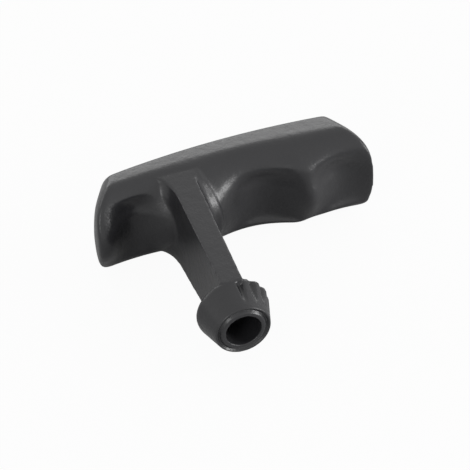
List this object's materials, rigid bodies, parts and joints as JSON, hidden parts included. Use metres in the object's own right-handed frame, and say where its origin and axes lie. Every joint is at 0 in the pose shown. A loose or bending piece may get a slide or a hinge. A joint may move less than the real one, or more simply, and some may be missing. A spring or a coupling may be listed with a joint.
{
  "type": "recoil starter handle",
  "caption": "Moulded T-shaped pull handle with finger pockets, a flat blade and a fluted nose bored for a starter rope.",
  "frame": {"origin": "centre of the rope mouth, at the tip of the nose", "axes": "+X along the grip towards its two-finger side, -Y the way the rope leaves, +Z the thickness, with the mould parting at Z = 0"},
  "size_m": [0.0718, 0.0587, 0.0252],
  "materials": {
    "handle_plastic": "satin moulded black plastic with a fine spark-eroded texture"
  },
  "bodies": {
    "root": {"starter_handle": "handle_plastic"}
  },
  "joints": []
}
